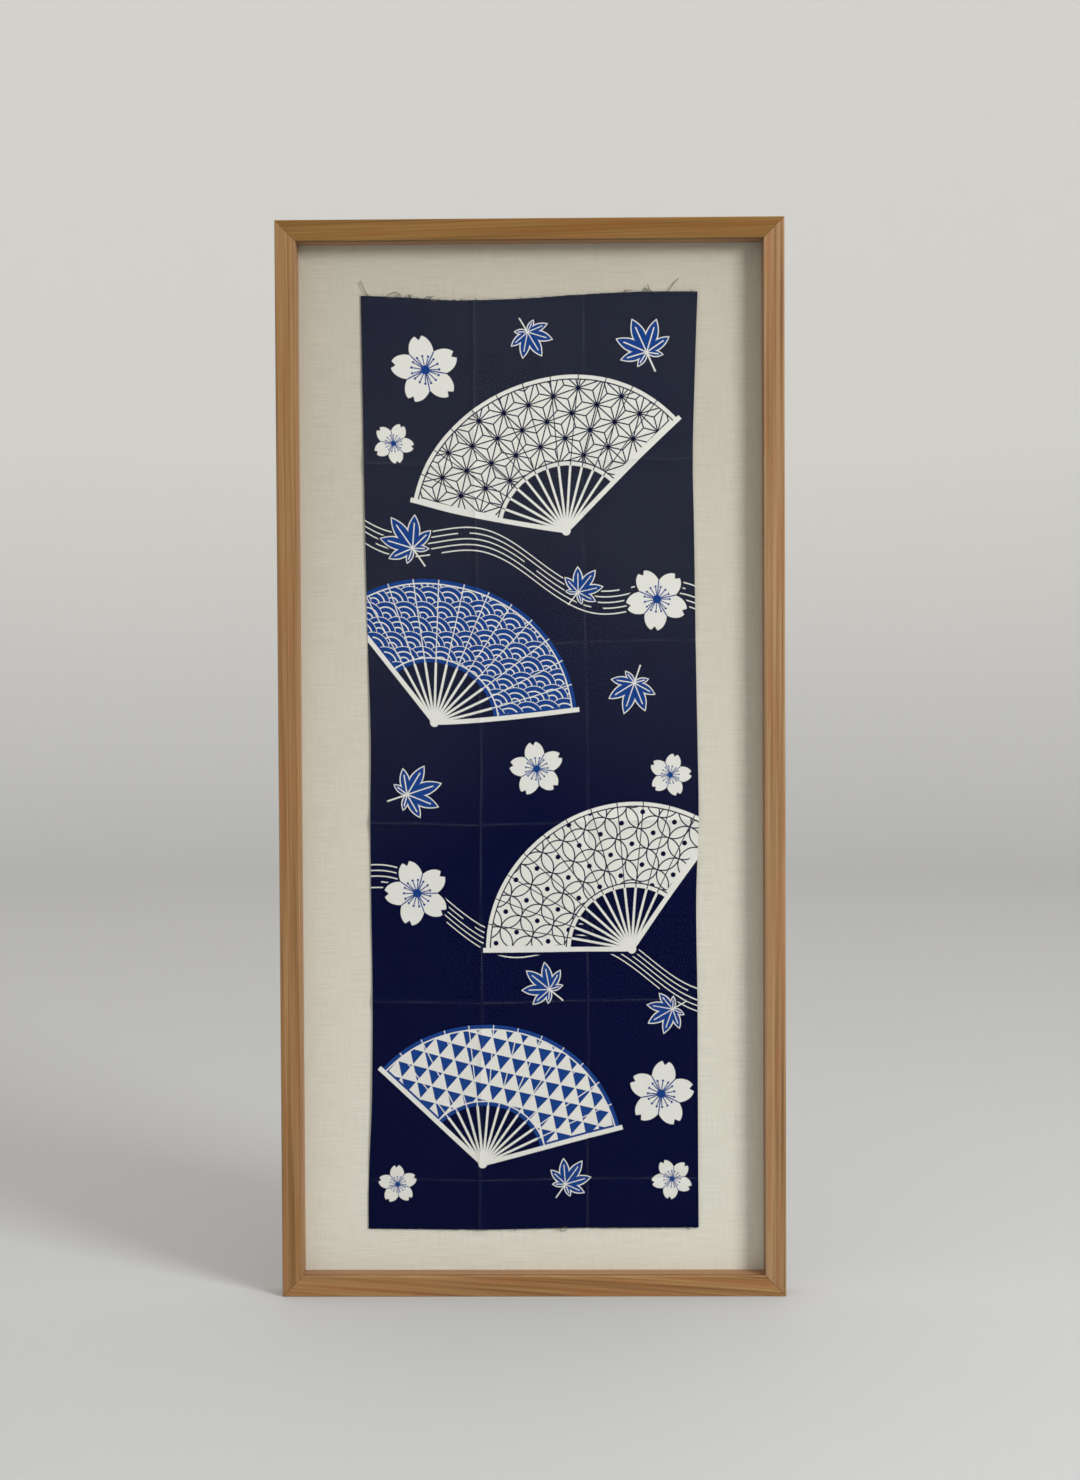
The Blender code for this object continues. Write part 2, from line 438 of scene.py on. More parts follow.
def oak(name, along_z, offset, slant, keeps):
    """Oak whose grain runs along z, or along x, slightly slanted across the face."""
    tones = (OAK_DARK, OAK_MIDDLE, OAK_PALE, OAK_RED, OAK_WORN_AND_HIGHLIT)
    dark, middle, pale, red, worn_and_highlit = [tuple(map(operator.mul, tone, keeps)) for tone in tones]
    finish = Finish(name, roughness=0.6, Specular_IOR_Level=0.3)
    upright = math.pi / 2 if along_z else 0.0
    grain = finish.place((0, upright + math.radians(slant), 0), offset)
    streaks = finish.noise(grain, OAK_STREAKS, detail=3.0, distortion=0.25)
    lines = finish.noise(grain, OAK_LINES, detail=2.0)
    patches = finish.noise(grain, OAK_PATCHES, detail=1.0)
    pores = finish.noise(grain, OAK_PORES, detail=1.0)
    tone = streaks * 0.55 + lines * 0.45
    colour = finish.mix(dark, middle, finish.spread(tone, 0.33, 0.48))
    colour = finish.mix(colour, pale, finish.spread(tone, 0.48, 0.64))
    colour = finish.mix(colour, red, finish.spread(patches, 0.48, 0.68, 0, RED_SHARE))
    in_pore = finish.spread(pores, 0.62, 0.74, 0, PORE_SHARE)
    colour = finish.mix(colour, OAK_DARK, in_pore)
    # Rounded edges, found by their normal, get a paler colour that is partly wear and partly a painted
    # highlight.
    normal = finish.add("ShaderNodeTexCoord").outputs["Normal"]
    leaning = largest(*[abs(part) for part in finish.parts(normal)])
    colour = finish.mix(colour, worn_and_highlit, finish.spread(leaning, 0.90, 0.985, WEAR_AND_HIGHLIGHT_SHARE, 0))
    finish.colour(colour)
    finish.roughness(finish.spread(tone, 0.3, 0.7, 0.66, 0.52))
    finish.bump(tone - in_pore, GRAIN_DEPTH, GRAIN_STRENGTH)
    return finish.material


for index, (side, along_z, slant, keeps) in enumerate(RAILS):
    offset = (0.37 * index, 0.11 * index, 0.23 * index)
    wear(nodes[f"rail_{side}"], oak(f"oak {side}", along_z, offset, slant, keeps))
print("oak on 4 rails")

# %% [markdown]
# ## The fillets and the back board
#
# The fillets are the slim strips that hold the board away from the clear sheet. They are the dark inner
# walls of the frame. They are the same kind of wood, only browner, so the same stretched noise serves
# with darker colours.
#
# The back board doesn't show from the front. It is plain fibreboard, which looks like felt pressed
# flat: short fibres in every direction over a cloudy brown.

# %% Fillets and back board
FILLET_DARK = (0.292, 0.149, 0.070)
FILLET_PALE = (0.466, 0.252, 0.122)
FILLET_GRAIN = (4.0, 420, 420)
FIBRE_DARK = (0.200, 0.130, 0.075)
FIBRE_PALE = (0.330, 0.235, 0.150)
FIBRE_DEPTH = 0.0002


def fillet_wood(name, along_z, offset):
    finish = Finish(name, roughness=0.6, Specular_IOR_Level=0.3)
    grain = finish.place((0, math.pi / 2 if along_z else 0.0, 0), offset)
    tone = finish.noise(grain, FILLET_GRAIN, detail=3.0)
    finish.colour(finish.mix(FILLET_DARK, FILLET_PALE, finish.spread(tone, 0.32, 0.68)))
    finish.bump(tone, GRAIN_DEPTH, GRAIN_STRENGTH)
    return finish.material


for index, (side, along_z, _, _) in enumerate(RAILS):
    offset = (0.29 * index, 0.4, 0.17 * index)
    wear(nodes[f"spacer_{side}"], fillet_wood(f"fillet {side}", along_z, offset))

fibreboard = Finish("pressed fibreboard", roughness=0.82, Specular_IOR_Level=0.2)
flat = fibreboard.place()
clouds = fibreboard.noise(flat, (14, 14, 14), detail=4.0)
fibres = fibreboard.noise(flat, (520, 520, 240), detail=4.0, distortion=1.5)
tone = clouds * 0.2 + fibres * 0.8
fibreboard.colour(fibreboard.mix(FIBRE_DARK, FIBRE_PALE, fibreboard.spread(tone, 0.35, 0.65)))
fibreboard.bump(fibres, FIBRE_DEPTH, 0.6)
wear(nodes["back_board"], fibreboard.material)
print("fillets and back board finished")

# %% [markdown]
# ## The mount board
#
# The towel lies on a board wrapped in natural linen. Linen yarn is uneven: it swells into slubs, so a
# plain weave of it shows fine lines that come and go. The lines across are the plainer ones here. The
# weave is built from the two sets of threads, each a row of rounded ridges, and a chequer of overs and
# unders picks which one is on top. Noise that is long along a thread and short across it then gives
# each thread its own thickness and tone.

# %% A plain weave
def plain_weave(x, y, pitch):
    """Height, from 0 to 1, of a plain weave whose threads lie pitch apart along x and along y."""
    column = maths("FLOOR", x * (1 / pitch))
    row = maths("FLOOR", y * (1 / pitch))
    across_up = maths("PINGPONG", column + row, 1.0)
    over_x = maths("SINE", maths("PINGPONG", x * (math.pi / pitch), math.pi / 2))
    over_y = maths("SINE", maths("PINGPONG", y * (math.pi / pitch), math.pi / 2))
    return maths("MULTIPLY_ADD", across_up, over_y - over_x, over_x)


# %% Linen on the mount board
LINEN_PITCH = 0.00095
# The board's colour at its bottom and at its top. The top one is darker, which is painted shade and not
# a change in the linen.
LINEN_TOP_PAINTED_SHADE = (0.560, 0.508, 0.428)
LINEN_AT_BOTTOM = (0.820, 0.782, 0.695)
LINEN_SHADE = 0.84
LINEN_SWAY = 0.002
LINEN_DEPTH = 0.0004

# Slubs: waves to a metre along their thread, and across it
SLUBS_ALONG = 26
SLUBS_ACROSS = 1150

linen = Finish("slubby linen", roughness=0.9, Specular_IOR_Level=0.15, Sheen_Weight=0.1)
place = linen.place()
linen_x, _, linen_z = linen.parts(place)
sway = linen.noise(place, (6, 6, 6), detail=1.0) * LINEN_SWAY
across = linen.noise(place, (SLUBS_ALONG, 1, SLUBS_ACROSS), detail=2.0)
upward = linen.noise(place, (SLUBS_ACROSS, 1, SLUBS_ALONG), detail=2.0)
clouds = linen.noise(place, (7, 7, 7), detail=2.0)
weave = plain_weave(linen_x + sway, linen_z + sway, LINEN_PITCH)
tone = across * 0.52 + upward * 0.36 + clouds * 0.12
# The linen's colour darkens from the bottom of the board to its top: a painted shade.
pale = linen.mix(LINEN_AT_BOTTOM, LINEN_TOP_PAINTED_SHADE, linen.spread(linen_z, 0, solid_box[1].z))
shade = linen.mix((0, 0, 0), pale, LINEN_SHADE)
colour = linen.mix(shade, pale, linen.spread(tone, 0.36, 0.60))
colour = linen.mix(colour, shade, linen.spread(weave, 0.0, 0.5, 0.6, 0))
linen.colour(colour)
linen.bump(weave * 0.6 + across * 0.5 + upward * 0.3, LINEN_DEPTH, 0.5)
wear(nodes["mount_board"], linen.material)
print("linen with", round(1 / LINEN_PITCH / 100, 1), "threads to the centimetre")

# %% [markdown]
# ## The clear sheet
#
# A glass shader would bend light twice and turn the cloth's shading noisy. A thin flat sheet hardly
# bends anything, so it is enough to let most light straight through and to mirror a little, more at a
# slant. That is Transparent mixed with Glossy by Fresnel. Where a ray leaves the sheet, Fresnel answers
# for glass on the inside, which would mirror slanted light back in and darken the board. So only the
# face that a ray enters by mirrors here.
#
# The index is that of a low-glare sheet. A stronger mirror spoils the deep dye with grain, as few of a
# pixel's samples would meet it. The milky reflection that the sheet would show over the upper part of
# the cloth is a painted reflection in the dye's colour instead.

# %% Clear sheet
SHEET_INDEX = 1.10
SHEET_TINT = (0.985, 0.992, 0.988)
MIRROR_ROUGHNESS = 0.06

pane = Finish("clear sheet", roughness=0.02)
gloss = Wire(pane.add("ShaderNodeFresnel", [("IOR", SHEET_INDEX)]).outputs[0])
leaving = Wire(pane.add("ShaderNodeNewGeometry").outputs["Backfacing"])
through = pane.add("ShaderNodeBsdfTransparent", [("Color", (*SHEET_TINT, 1))])
mirror = pane.add("ShaderNodeBsdfGlossy", [("Roughness", MIRROR_ROUGHNESS)])
both = [("Fac", gloss * (1 - leaving)), (1, through.outputs[0]), (2, mirror.outputs[0])]
mixed = pane.add("ShaderNodeMixShader", both)
pane.tree.links.new(mixed.outputs[0], pane.tree.nodes["Material Output"].inputs["Surface"])
wear(nodes["glazing"], pane.material)
print("clear sheet on the glazing")

# %% [markdown]
# ## The cloth
#
# The towel is one cut length, pressed flat after it was folded in three across and in six along. It
# isn't quite straight: the selvedges draw in and out by a few millimetres, and the raw ends bow. Each
# old fold still stands up or dips as a sharp line that fades out over about 20 mm, and there are small
# puckers beside it. The fold itself was ironed in, so its last few millimetres bend more steeply still.
#
# A cloth simulation would smooth these folds away, so the sheet's shape is given. It starts as a fine
# grid, and a few small tables move its points. The tables are those of the solid cloth, so the two
# agree. Solidify then gives the cloth its thickness.

# %% Tables of the cloth's shape
TOWEL_FLAT = (0.335, 0.950)
TOWEL_BOTTOM_Z = 0.0637
CLOTH_THICKNESS = 0.0006
BOARD_GAP = 0.0003
MEAN_LIFT = 0.0009
CREASE_REACH = 0.022
CREST_RISE = 0.0007
CREST_REACH = 0.0028

# Low swells over the whole cloth: height, length up the cloth, length across it, start in turns
SWELLS = (
    (0.0003, 0.31, 0.70, 0.00),
    (0.0002, 0.19, -0.45, 0.18),
)

# Creases across the towel: height above the bottom end, rise of the crest, below zero in a trough
CREASES_ACROSS = (
    (0.0508, -0.0006),
    (0.2335, 0.0013),
    (0.4162, 0.0016),
    (0.5989, -0.0007),
    (0.7816, 0.0010),
)

# Creases along the towel: x, rise of the crest, below zero in a trough
CREASES_ALONG = (
    (-0.0548, 0.0009),
    (0.0545, -0.0006),
)

# Selvedges: height above the bottom end, x of the left selvedge, x of the right selvedge
SELVEDGE_ROWS = (
    (0.000, -0.1693, 0.1678),
    (0.050, -0.1688, 0.1676),
    (0.132, -0.1650, 0.1674),
    (0.236, -0.1636, 0.1672),
    (0.335, -0.1644, 0.1663),
    (0.420, -0.1647, 0.1690),
    (0.500, -0.1637, 0.1680),
    (0.602, -0.1662, 0.1664),
    (0.722, -0.1681, 0.1650),
    (0.783, -0.1689, 0.1641),
    (0.880, -0.1700, 0.1668),
    (0.950, -0.1710, 0.1694),
)

# Raw ends: share of the width from the left, rise of the top end, rise of the bottom end
END_ROWS = (
    (0.00, -0.0008, 0.0000),
    (0.14, -0.0030, -0.0005),
    (0.27, -0.0061, -0.0009),
    (0.40, -0.0058, -0.0008),
    (0.52, -0.0042, 0.0000),
    (0.63, -0.0017, 0.0006),
    (0.83, 0.0012, 0.0008),
    (1.00, 0.0010, 0.0010),
)

BOARD_FRONT_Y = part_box("mount_board")[0].y
MEAN_LEFT = sum(row[1] for row in SELVEDGE_ROWS) / len(SELVEDGE_ROWS)
MEAN_RIGHT = sum(row[2] for row in SELVEDGE_ROWS) / len(SELVEDGE_ROWS)
print("cloth", round(MEAN_RIGHT - MEAN_LEFT, 4), "m wide on average")
print("board front at y", round(BOARD_FRONT_Y, 4))

# %% [markdown]
# Between two rows of a table the value follows a smooth curve, so that the edges have no corners. The
# relief is the height of the cloth off its board: swells, creases and puckers added up. It never goes
# below zero, because there the cloth touches the board.

# %% Reading the tables
PUCKER_HEIGHT = 0.00035
PUCKER_WAVES = 46
PUCKERS_ELSEWHERE = 0.25
FRAY_UNEVENNESS = 0.0006
FRAY_WAVES = 260
FRAY_BAND = 0.01


def curve_read(rows, place, column):
    """A table's column at any place along it, on a smooth curve through the rows."""
    index = max(i for i in range(len(rows) - 1) if i == 0 or rows[i][0] <= place)
    low, high = rows[index], rows[index + 1]
    before, after = rows[max(index - 1, 0)], rows[min(index + 2, len(rows) - 1)]
    span = high[0] - low[0]
    slope_low = span * (high[column] - before[column]) / (high[0] - before[0])
    slope_high = span * (after[column] - low[column]) / (after[0] - low[0])
    t = min(max((place - low[0]) / span, 0), 1)
    eased = t * t * (3 - 2 * t)
    bend = t * (1 - t) * ((1 - t) * slope_low - t * slope_high)
    return low[column] + (high[column] - low[column]) * eased + bend


def fading(distance):
    """1 on a crease, easing out to nothing at CREASE_REACH."""
    return (1 - min(abs(distance) / CREASE_REACH, 1)) ** 2


def fold(distance, rise):
    """How far a crease lifts the cloth at a distance from it, or lowers it."""
    crest = math.copysign(CREST_RISE, rise) * max(1 - abs(distance) / CREST_REACH, 0)
    return rise * fading(distance) + crest


def cloth_relief(x, height):
    """How far the cloth stands off the board."""
    lift = MEAN_LIFT
    for rise, up, across, start in SWELLS:
        lift += rise * math.sin(2 * math.pi * (height / up + x / across + start))
    near_crease = PUCKERS_ELSEWHERE
    for place, rise in CREASES_ACROSS:
        lift += fold(height - place, rise)
        near_crease = max(near_crease, fading(height - place))
    for place, rise in CREASES_ALONG:
        lift += fold(x - place, rise)
        near_crease = max(near_crease, fading(x - place))
    pucker = noise.noise(Vector((x, height * 0.8, 0.3)) * PUCKER_WAVES)
    return max(lift + PUCKER_HEIGHT * pucker * near_crease, 0)


def cloth_point(column, height):
    """Where a point of the flat cloth lies, on the cloth's back face."""
    share = (column - MEAN_LEFT) / (MEAN_RIGHT - MEAN_LEFT)
    left = curve_read(SELVEDGE_ROWS, height, 1)
    right = curve_read(SELVEDGE_ROWS, height, 2)
    up = height / TOWEL_FLAT[1]
    rise = curve_read(END_ROWS, share, 1) * up + curve_read(END_ROWS, share, 2) * (1 - up)
    at_end = max(abs(2 * up - 1) - (1 - FRAY_BAND), 0) / FRAY_BAND
    rise += at_end * FRAY_UNEVENNESS * noise.noise(Vector((column * FRAY_WAVES, up * 5, 0)))
    y = BOARD_FRONT_Y - BOARD_GAP - cloth_relief(column, height)
    return Vector((left + (right - left) * share, y, TOWEL_BOTTOM_Z + height + rise))


print("relief at the middle", round(1000 * cloth_relief(0, TOWEL_FLAT[1] / 2), 2), "mm")

# %% [markdown]
# The grid's lines fall exactly on the creases and on the feet of their crests, and cells of about 3.5
# mm fill the rest. Smooth shading stops at edges that bend by more than 20 degrees. Those are the tops
# of the crests and the cloth's rim, so both stay sharp. The cloth also gets a map of its own, in metres
# from its lower left corner, which the print will follow.

# %% Shape the cloth
CELL = 0.0035
SHARP_BEND = math.radians(20)


def stops_between(stops):
    """Places from the first stop to the last, evenly spaced between neighbours and about CELL apart."""
    places = [stops[0]]
    for low, high in zip(stops, stops[1:]):
        cells = max(round((high - low) / CELL), 1)
        places += [low + (high - low) * (i + 1) / cells for i in range(cells)]
    return places


def crest_stops(creases):
    """The two feet and the top of each crease's crest."""
    return [place + side * CREST_REACH for place, _ in creases for side in (-1, 0, 1)]


columns = stops_between([MEAN_LEFT, *crest_stops(CREASES_ALONG), MEAN_RIGHT])
rows = stops_between([0, *crest_stops(CREASES_ACROSS), TOWEL_FLAT[1]])
last_column = len(columns) - 1
last_row = len(rows) - 1

bpy.ops.object.select_all(action="DESELECT")
bpy.ops.mesh.primitive_grid_add(x_subdivisions=last_column, y_subdivisions=last_row, size=1)
towel = bpy.context.object
towel.name = "towel_cloth"
flat_places = []
for corner in towel.data.vertices:
    column = columns[round((corner.co.x + 0.5) * last_column)]
    height = rows[round((corner.co.y + 0.5) * last_row)]
    corner.co = cloth_point(column, height)
    flat_places.append((column - MEAN_LEFT, height))
cloth_map = towel.data.uv_layers[0]
cloth_map.name = "cloth"
for loop in towel.data.loops:
    cloth_map.data[loop.index].uv = flat_places[loop.vertex_index]

thickness = towel.modifiers.new("thickness", "SOLIDIFY")
thickness.thickness = CLOTH_THICKNESS
thickness.offset = 1.0
bpy.ops.object.modifier_apply(modifier=thickness.name)
bpy.ops.object.shade_smooth_by_angle(angle=SHARP_BEND)
print("cloth of", last_column, "by", last_row, "cells,", len(towel.data.polygons), "faces")

# %% [markdown]
# ## The print
#
# The cloth is dyed a deep indigo, with the design left white and some of it filled with a brighter
# blue. The design here is a free arrangement of traditional motifs: folding fans, cherry blossoms,
# maple leaves and lines of running water. Each fan carries one of the old repeats: hemp leaf, blue
# waves, seven treasures and fish scales.
#
# A picture file could carry the print, but sums on the cloth's own map stay sharp at any size. Each
# motif is a distance, and `covered` turns it into dye with an edge that bleeds about half a millimetre.
# The motifs are laid one over the other, from the ground up.

# %% The cloth's dyes, and its map
INDIGO = (0.0014, 0.0030, 0.0290)
WHITE = (0.760, 0.735, 0.700)
BLUE = (0.0100, 0.0480, 0.2300)
# A paler, greyer indigo that is a painted reflection of the clear sheet's milky haze.
PAINTED_REFLECTION = (0.0195, 0.0215, 0.0385)
BLEED = 0.0005
BLEED_WANDER = 0.0007
REFLECTION_FROM = 0.42
REFLECTION_TO = 0.74

print_finish = Finish("printed cotton", roughness=0.88, Specular_IOR_Level=0.06, Sheen_Weight=0.02)
on_cloth = print_finish.add("ShaderNodeUVMap", uv_map="cloth").outputs["UV"]
from_left, v, _ = print_finish.parts(on_cloth)
spread_of_dye = print_finish.noise(on_cloth, (900, 900, 1), detail=2.0)
bleed_edge = (spread_of_dye - 0.5) * BLEED_WANDER
u = from_left - TOWEL_FLAT[0] / 2


def dye(below, colour, distance):
    """Lays a colour over what is below it, inside a shape given by its distance."""
    return print_finish.mix(below, colour, covered(distance + bleed_edge, BLEED))


# The ground gets a painted reflection, in patches. It grows towards the top and the sides, where the
# clear sheet would mirror a milky haze.
painted_reflection_up = print_finish.spread(v + abs(u) * 0.5, REFLECTION_FROM, REFLECTION_TO)
reflection_patches = print_finish.noise(on_cloth, (6, 6, 1), detail=2.0)
ground = print_finish.mix(INDIGO, PAINTED_REFLECTION, painted_reflection_up * print_finish.spread(reflection_patches, 0.2, 0.6, 0.7, 1.0))
print("dyes ready")

# %% [markdown]
# ### Running water
#
# Two bands of thin parallel lines flow across the cloth. They are level lines of a tilted, gently
# waving height, and they come first because the fans and the flowers lie over them. Each line breaks
# off now and then, at its own place.

# %% Water lines
WATER_PITCH = 0.0058
WATER_LINES = 5
WATER_HALF_WIDTH = 0.00062
WATER_TILT = 0.30
WAVE_HEIGHT = 0.017
WAVE_LENGTH = 0.205
WAVE_SHIFT = 9
BREAK_HALF_WIDTH = 0.006
BREAK_EVERY = 0.23
BREAK_SHIFT = 0.067
WATER_STARTS = (0.300, 0.675)


def water(start):
    """Distance to one band of lines that crosses the middle of the cloth at the height start."""
    wave = maths("SINE", u * (2 * math.pi / WAVE_LENGTH) + start * WAVE_SHIFT)
    level = v - start + u * WATER_TILT + wave * WAVE_HEIGHT
    line = to_nearest(level, WATER_PITCH) - WATER_HALF_WIDTH
    number = maths("ROUND", level * (1 / WATER_PITCH))
    band = abs(number) - (WATER_LINES // 2 + 0.5)
    broken = BREAK_HALF_WIDTH - to_nearest(u + number * BREAK_SHIFT, BREAK_EVERY)
    return largest(line, band, broken)


colour = ground
for start in WATER_STARTS:
    colour = dye(colour, WHITE, water(start))
print("water in", len(WATER_STARTS), "bands of", WATER_LINES, "lines")

# %% [markdown]
# ### Blossoms and leaves
#
# Nine blossoms and nine leaves would be a lot of sums if each were drawn by itself. Instead, the sums
# first find the nearest stamp and turn the map to face it, and the motif is drawn once, there. It works
# as long as no two stamps of a kind touch.

# %% The nearest of a few stamps
def chosen(share, when_zero, when_one):
    """One of two numbers, by a share that is 0 or 1."""
    return maths("MULTIPLY_ADD", share, when_one - when_zero, when_zero)


def nearest_stamp(stamps):
    """Coordinates round the nearest stamp in its own radii, and that radius in metres."""
    best = None
    for centre_u, centre_v, radius, degrees in stamps:
        x, y = turned(u, v, (centre_u, centre_v), math.radians(degrees))
        x = x * (1 / radius)
        y = y * (1 / radius)
        found = (hypotenuse(x, y), x, y, radius)
        if best:
            nearer = maths("LESS_THAN", found[0], best[0])
            found = [chosen(nearer, old, new) for old, new in zip(best, found)]
        best = found
    return best[1:]


print("stamps ready")

# %% [markdown]
# A blossom has five petals, notched at the tip. The angle round its middle is folded into one petal, so
# a single petal is drawn and all five appear. The stamens are fifteen spokes with a dot at the end of
# each.

# %% Blossoms
# Blossoms: place across from the middle, height, radius, turn in degrees
BLOSSOMS = (
    (-0.104, 0.878, 0.035, 12),
    (-0.137, 0.802, 0.021, -25),
    (0.128, 0.640, 0.032, 30),
    (0.002, 0.472, 0.028, 8),
    (0.138, 0.462, 0.022, -15),
    (-0.120, 0.345, 0.034, 20),
    (0.129, 0.137, 0.034, -8),
    (0.140, 0.050, 0.021, 28),
    (-0.138, 0.046, 0.020, 5),
)
BLOSSOM_RIM = 0.0022
PETALS = 5
STAMENS = 15

# Sizes inside a blossom, as shares of its radius
PETAL_MIDDLE = 0.55
PETAL_HALF_LENGTH = 0.45
PETAL_HALF_WIDTH = 0.35
NOTCH_FOOT = 0.86
SLIT_END = 0.60
SLIT_HALF_WIDTH = 0.018
STAMEN_END = 0.36
STAMEN_HALF_WIDTH = 0.016
ANTHER_AT = 0.40
ANTHER_RADIUS = 0.036
HEART_RADIUS = 0.11
HEART_HALF_WIDTH = 0.022


def blossom(x, y):
    """Distances, in radii, to the petals and to the lines drawn on them."""
    away = hypotenuse(x, y)
    bearing = maths("ARCTAN2", x, y)
    aside = to_nearest(bearing, 2 * math.pi / PETALS)
    along = away * maths("COSINE", aside)
    across = away * maths("SINE", aside)
    oval = hypotenuse((along - PETAL_MIDDLE) * (1 / PETAL_HALF_LENGTH), across * (1 / PETAL_HALF_WIDTH))
    petal = (oval - 1) * PETAL_HALF_WIDTH
    notch = (along - NOTCH_FOOT - across * 1.2) * 0.6
    slit = largest((math.pi / PETALS - aside) * away - SLIT_HALF_WIDTH, away - SLIT_END)
    spoke = to_nearest(bearing, 2 * math.pi / STAMENS) * away
    stamen = largest(spoke - STAMEN_HALF_WIDTH, away - STAMEN_END)
    anther = hypotenuse(away - ANTHER_AT, spoke) - ANTHER_RADIUS
    heart = abs(away - HEART_RADIUS) - HEART_HALF_WIDTH
    return largest(petal, notch), smallest(slit, stamen, anther, heart)


stamp_x, stamp_y, stamp_radius = nearest_stamp(BLOSSOMS)
petals, petal_lines = blossom(stamp_x, stamp_y)
colour = dye(colour, ground, petals * stamp_radius - BLOSSOM_RIM)
colour = dye(colour, WHITE, petals * stamp_radius)
colour = dye(colour, BLUE, petal_lines * stamp_radius)
print(len(BLOSSOMS), "blossoms")

# %% [markdown]
# A maple leaf has seven pointed lobes. It is the same left and right, so only four of them are drawn,
# on one side. Each is a spindle: widest at half its length, and nothing at its root and its tip.

# %% Maple leaves
# Leaves: place across from the middle, height, radius, turn in degrees
LEAVES = (
    (0.000, 0.913, 0.028, -150),
    (0.116, 0.893, 0.036, 25),
    (-0.122, 0.700, 0.036, 35),
    (0.050, 0.652, 0.027, -40),
    (0.102, 0.552, 0.032, 160),
    (-0.126, 0.447, 0.036, -70),
    (0.012, 0.248, 0.030, 50),
    (0.034, 0.048, 0.028, -35),
    (0.138, 0.222, 0.028, 120),
)
LEAF_RIM = 0.0030
LEAF_OUTLINE = 0.0011

# Sizes inside a leaf, as shares of its radius. Lobes: degrees from the leaf's tip, length
LOBES = ((0, 1.00), (40, 0.92), (80, 0.72), (124, 0.44))
LOBE_FULLNESS = 0.68
LEAF_ROOT = -0.12
VEIN_HALF_WIDTH = 0.016
VEIN_SHARE = 0.78
STALK_HALF_WIDTH = 0.022
STALK_END = -0.72


def maple_leaf(x, y):
    """Distances, in radii, to the leaf and to its veins and stalk."""
    side = abs(x)
    raised = y - LEAF_ROOT
    lobes = []
    veins = []
    for degrees, length in LOBES:
        cosine = math.cos(math.radians(degrees))
        sine = math.sin(math.radians(degrees))
        along = side * sine + raised * cosine
        across = abs(side * cosine - raised * sine)
        lobes.append(across - along * (length - along) * (LOBE_FULLNESS / length))
        veins.append(largest(across - VEIN_HALF_WIDTH, along - VEIN_SHARE * length))
    stalk = largest(side - STALK_HALF_WIDTH, y - LEAF_ROOT, STALK_END - y)
    return smallest(*lobes), smallest(*veins), stalk


stamp_x, stamp_y, stamp_radius = nearest_stamp(LEAVES)
leaf, veins, stalk = maple_leaf(stamp_x, stamp_y)
colour = dye(colour, ground, leaf * stamp_radius - LEAF_RIM)
colour = dye(colour, WHITE, smallest(leaf * stamp_radius - LEAF_OUTLINE, stalk * stamp_radius))
colour = dye(colour, BLUE, leaf * stamp_radius)
colour = dye(colour, WHITE, largest(veins, leaf) * stamp_radius)
print(len(LEAVES), "leaves")

# %% [markdown]
# ### Four old repeats
#
# Each repeat fills the plane by folding it into one small cell and drawing only that.
#
# - Hemp leaf: a lattice of triangles, each with three lines from its middle to its corners. A point's
#   distances to a triangle's three sides are found first. The smallest gives the side, and two that are
#   equal give a spoke.
# - Blue waves: rows of circles, each row half hidden by the row below it, with rings inside.
# - Seven treasures: circles so close that each passes through its neighbours' quarters.
# - Fish scales: rows of triangles, every other row moved half a triangle across.

# %% Repeats
TREASURE_DOT = 0.08


def hemp_leaf(x, y, pitch):
    tall = pitch * math.sqrt(3) / 2
    first = y * (1 / tall)
    second = x * (1 / pitch) - first * 0.5
    third = 0 - first - second
    shares = [maths("FRACT", value) for value in (first, second, third)]
    flipped = maths("GREATER_THAN", shares[0] + shares[1] + shares[2], 1.5)
    shares = [abs(flipped - share) for share in shares]
    low = smallest(*shares)
    middle = 1 - low - largest(*shares)
    return smallest(low * tall, (middle - low) * (tall / math.sqrt(3)))


def blue_waves(x, y, pitch):
    lowest = maths("FLOOR", y * (4 / pitch)) - 1
    found = None
    for step in (2, 1, 0):
        row = lowest + step
        aside = to_nearest(x + maths("PINGPONG", row, 1.0) * (pitch / 2), pitch)
        away = hypotenuse(aside, y - row * (pitch / 4))
        inside = maths("LESS_THAN", away, pitch / 2)
        found = chosen(inside, found, away) if found else away
    return to_nearest(found, pitch / 6)


def seven_treasures(x, y, pitch):
    across = to_nearest(x, pitch)
    up = to_nearest(y, pitch)
    beside = abs(hypotenuse(pitch - across, up) - pitch / math.sqrt(2))
    above = abs(hypotenuse(across, pitch - up) - pitch / math.sqrt(2))
    dot = hypotenuse(across, up) - pitch * TREASURE_DOT
    return smallest(beside, above, dot)


def fish_scales(x, y, pitch):
    row = maths("FLOOR", y * (1 / pitch))
    up = maths("FRACT", y * (1 / pitch))
    across = abs(to_nearest(x - row * (pitch * 0.5), pitch))
    return across - (1 - up) * (pitch * 0.5)


print("4 repeats")

# %% [markdown]
# ### Folding fans
#
# A fan is simplest in polar coordinates round its pivot. The leaf is what lies between two radii and
# two angles. The folds, and the sticks below it, are evenly spaced angles, so one `to_nearest` finds
# them all. A dark rim is laid down before each fan, so that it stands clear of the water behind it.

